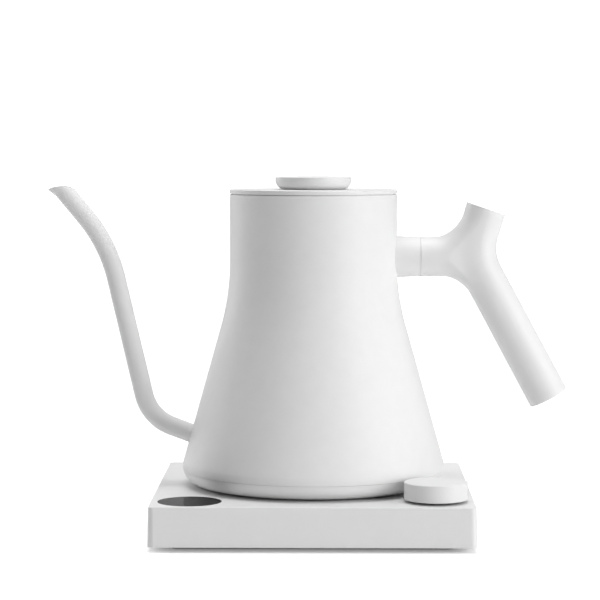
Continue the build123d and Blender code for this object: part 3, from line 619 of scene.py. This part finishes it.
def make_floor():
    """Pale floor with a glow that only the camera sees: dim over and near the object's footprint, as
    a painted contact shadow, and brighter far off.
    """
    mesh = bpy.data.meshes.new("floor")
    ends = [(-1, -1), (1, -1), (1, 1), (-1, 1)]
    corners = [(x * FLOOR_REACH, y * FLOOR_REACH, 0) for x, y in ends]
    mesh.from_pydata(corners, [], [(0, 1, 2, 3)])
    floor = bpy.data.objects.new("floor", mesh)
    scene.collection.objects.link(floor)
    made, tree, shader = material("floor")
    shader.inputs["Base Color"].default_value = (*grey(FLOOR_TONE), 1)
    shader.inputs["Roughness"].default_value = FLOOR_ROUGHNESS
    shader.inputs["Specular IOR Level"].default_value = 0.0
    shader.inputs["Emission Color"].default_value = (1, 1, 1, 1)
    coordinates = tree.nodes.new("ShaderNodeTexCoord").outputs["Object"]

    def vector_step(operation, value, other=None):
        step = tree.nodes.new("ShaderNodeVectorMath")
        step.operation = operation
        tree.links.new(value, step.inputs[0])
        if other is not None:
            step.inputs[1].default_value = other
        return step.outputs["Value" if operation == "LENGTH" else "Vector"]

    def ramp(distance, start, full, low, high):
        mapped = tree.nodes.new("ShaderNodeMapRange")
        mapped.interpolation_type = "SMOOTHSTEP"
        mapped.inputs["From Min"].default_value = start
        mapped.inputs["From Max"].default_value = full
        mapped.inputs["To Min"].default_value = low
        mapped.inputs["To Max"].default_value = high
        tree.links.new(distance, mapped.inputs["Value"])
        return mapped.outputs["Result"]

    def combine(operation, first, second):
        step = tree.nodes.new("ShaderNodeMath")
        step.operation = operation
        tree.links.new(first, step.inputs[0])
        tree.links.new(second, step.inputs[1])
        return step.outputs["Value"]

    # painted contact shadow: the glow is lowest over the footprint square and rises over a short fade
    # around it
    past_painted_shadow = vector_step("SUBTRACT", vector_step("ABSOLUTE", coordinates), (PAINTED_SHADOW_HALF_WIDTH, PAINTED_SHADOW_HALF_WIDTH, 0))
    past_painted_shadow = vector_step("LENGTH", vector_step("MAXIMUM", past_painted_shadow, (0, 0, 0)))
    close = ramp(past_painted_shadow, 0, PAINTED_SHADOW_FADE, FLOOR_GLOW_IN_PAINTED_SHADOW, FLOOR_GLOW_NEAR)
    reach = vector_step("LENGTH", coordinates)
    rest = FLOOR_GLOW_FAR - FLOOR_GLOW_NEAR
    glow = combine("ADD", close, ramp(reach, FLOOR_GLOW_START, FLOOR_GLOW_FULL, 0, rest))
    camera_only = tree.nodes.new("ShaderNodeLightPath").outputs["Is Camera Ray"]
    tree.links.new(combine("MULTIPLY", glow, camera_only), shader.inputs["Emission Strength"])
    mesh.materials.append(made)


def make_light(name, turn, height, size, power):
    """Soft box aimed at the object, from a compass turn and a height in degrees."""
    data = bpy.data.lights.new(name, "AREA")
    data.shape = "SQUARE"
    data.size = size
    data.energy = power
    light = bpy.data.objects.new(name, data)
    turn, height = math.radians(turn), math.radians(height)
    flat = math.cos(height)
    away = Vector((math.sin(turn) * flat, -math.cos(turn) * flat, math.sin(height)))
    light.location = AIM + away * LIGHT_DISTANCE
    light.rotation_euler = away.to_track_quat("Z", "Y").to_euler()
    scene.collection.objects.link(light)


def make_world():
    """Dim grey light all round; the camera sees plain white behind the object."""
    world = bpy.data.worlds.new("studio")
    world.use_nodes = True
    tree = world.node_tree
    lit = tree.nodes["Background"]
    lit.inputs["Color"].default_value = (1, 1, 1, 1)
    lit.inputs["Strength"].default_value = WORLD_LIGHT
    shown = tree.nodes.new("ShaderNodeBackground")
    shown.inputs["Color"].default_value = (1, 1, 1, 1)
    shown.inputs["Strength"].default_value = BACKDROP_LIGHT
    rays = tree.nodes.new("ShaderNodeLightPath")
    pick = tree.nodes.new("ShaderNodeMixShader")
    tree.links.new(rays.outputs["Is Camera Ray"], pick.inputs[0])
    tree.links.new(lit.outputs[0], pick.inputs[1])
    tree.links.new(shown.outputs[0], pick.inputs[2])
    tree.links.new(pick.outputs[0], tree.nodes["World Output"].inputs["Surface"])
    scene.world = world


make_camera()
finish_cad_nodes()
make_spout()
make_handle()
make_floor()
make_world()
for name, settings in LIGHTS.items():
    make_light(name, *settings)
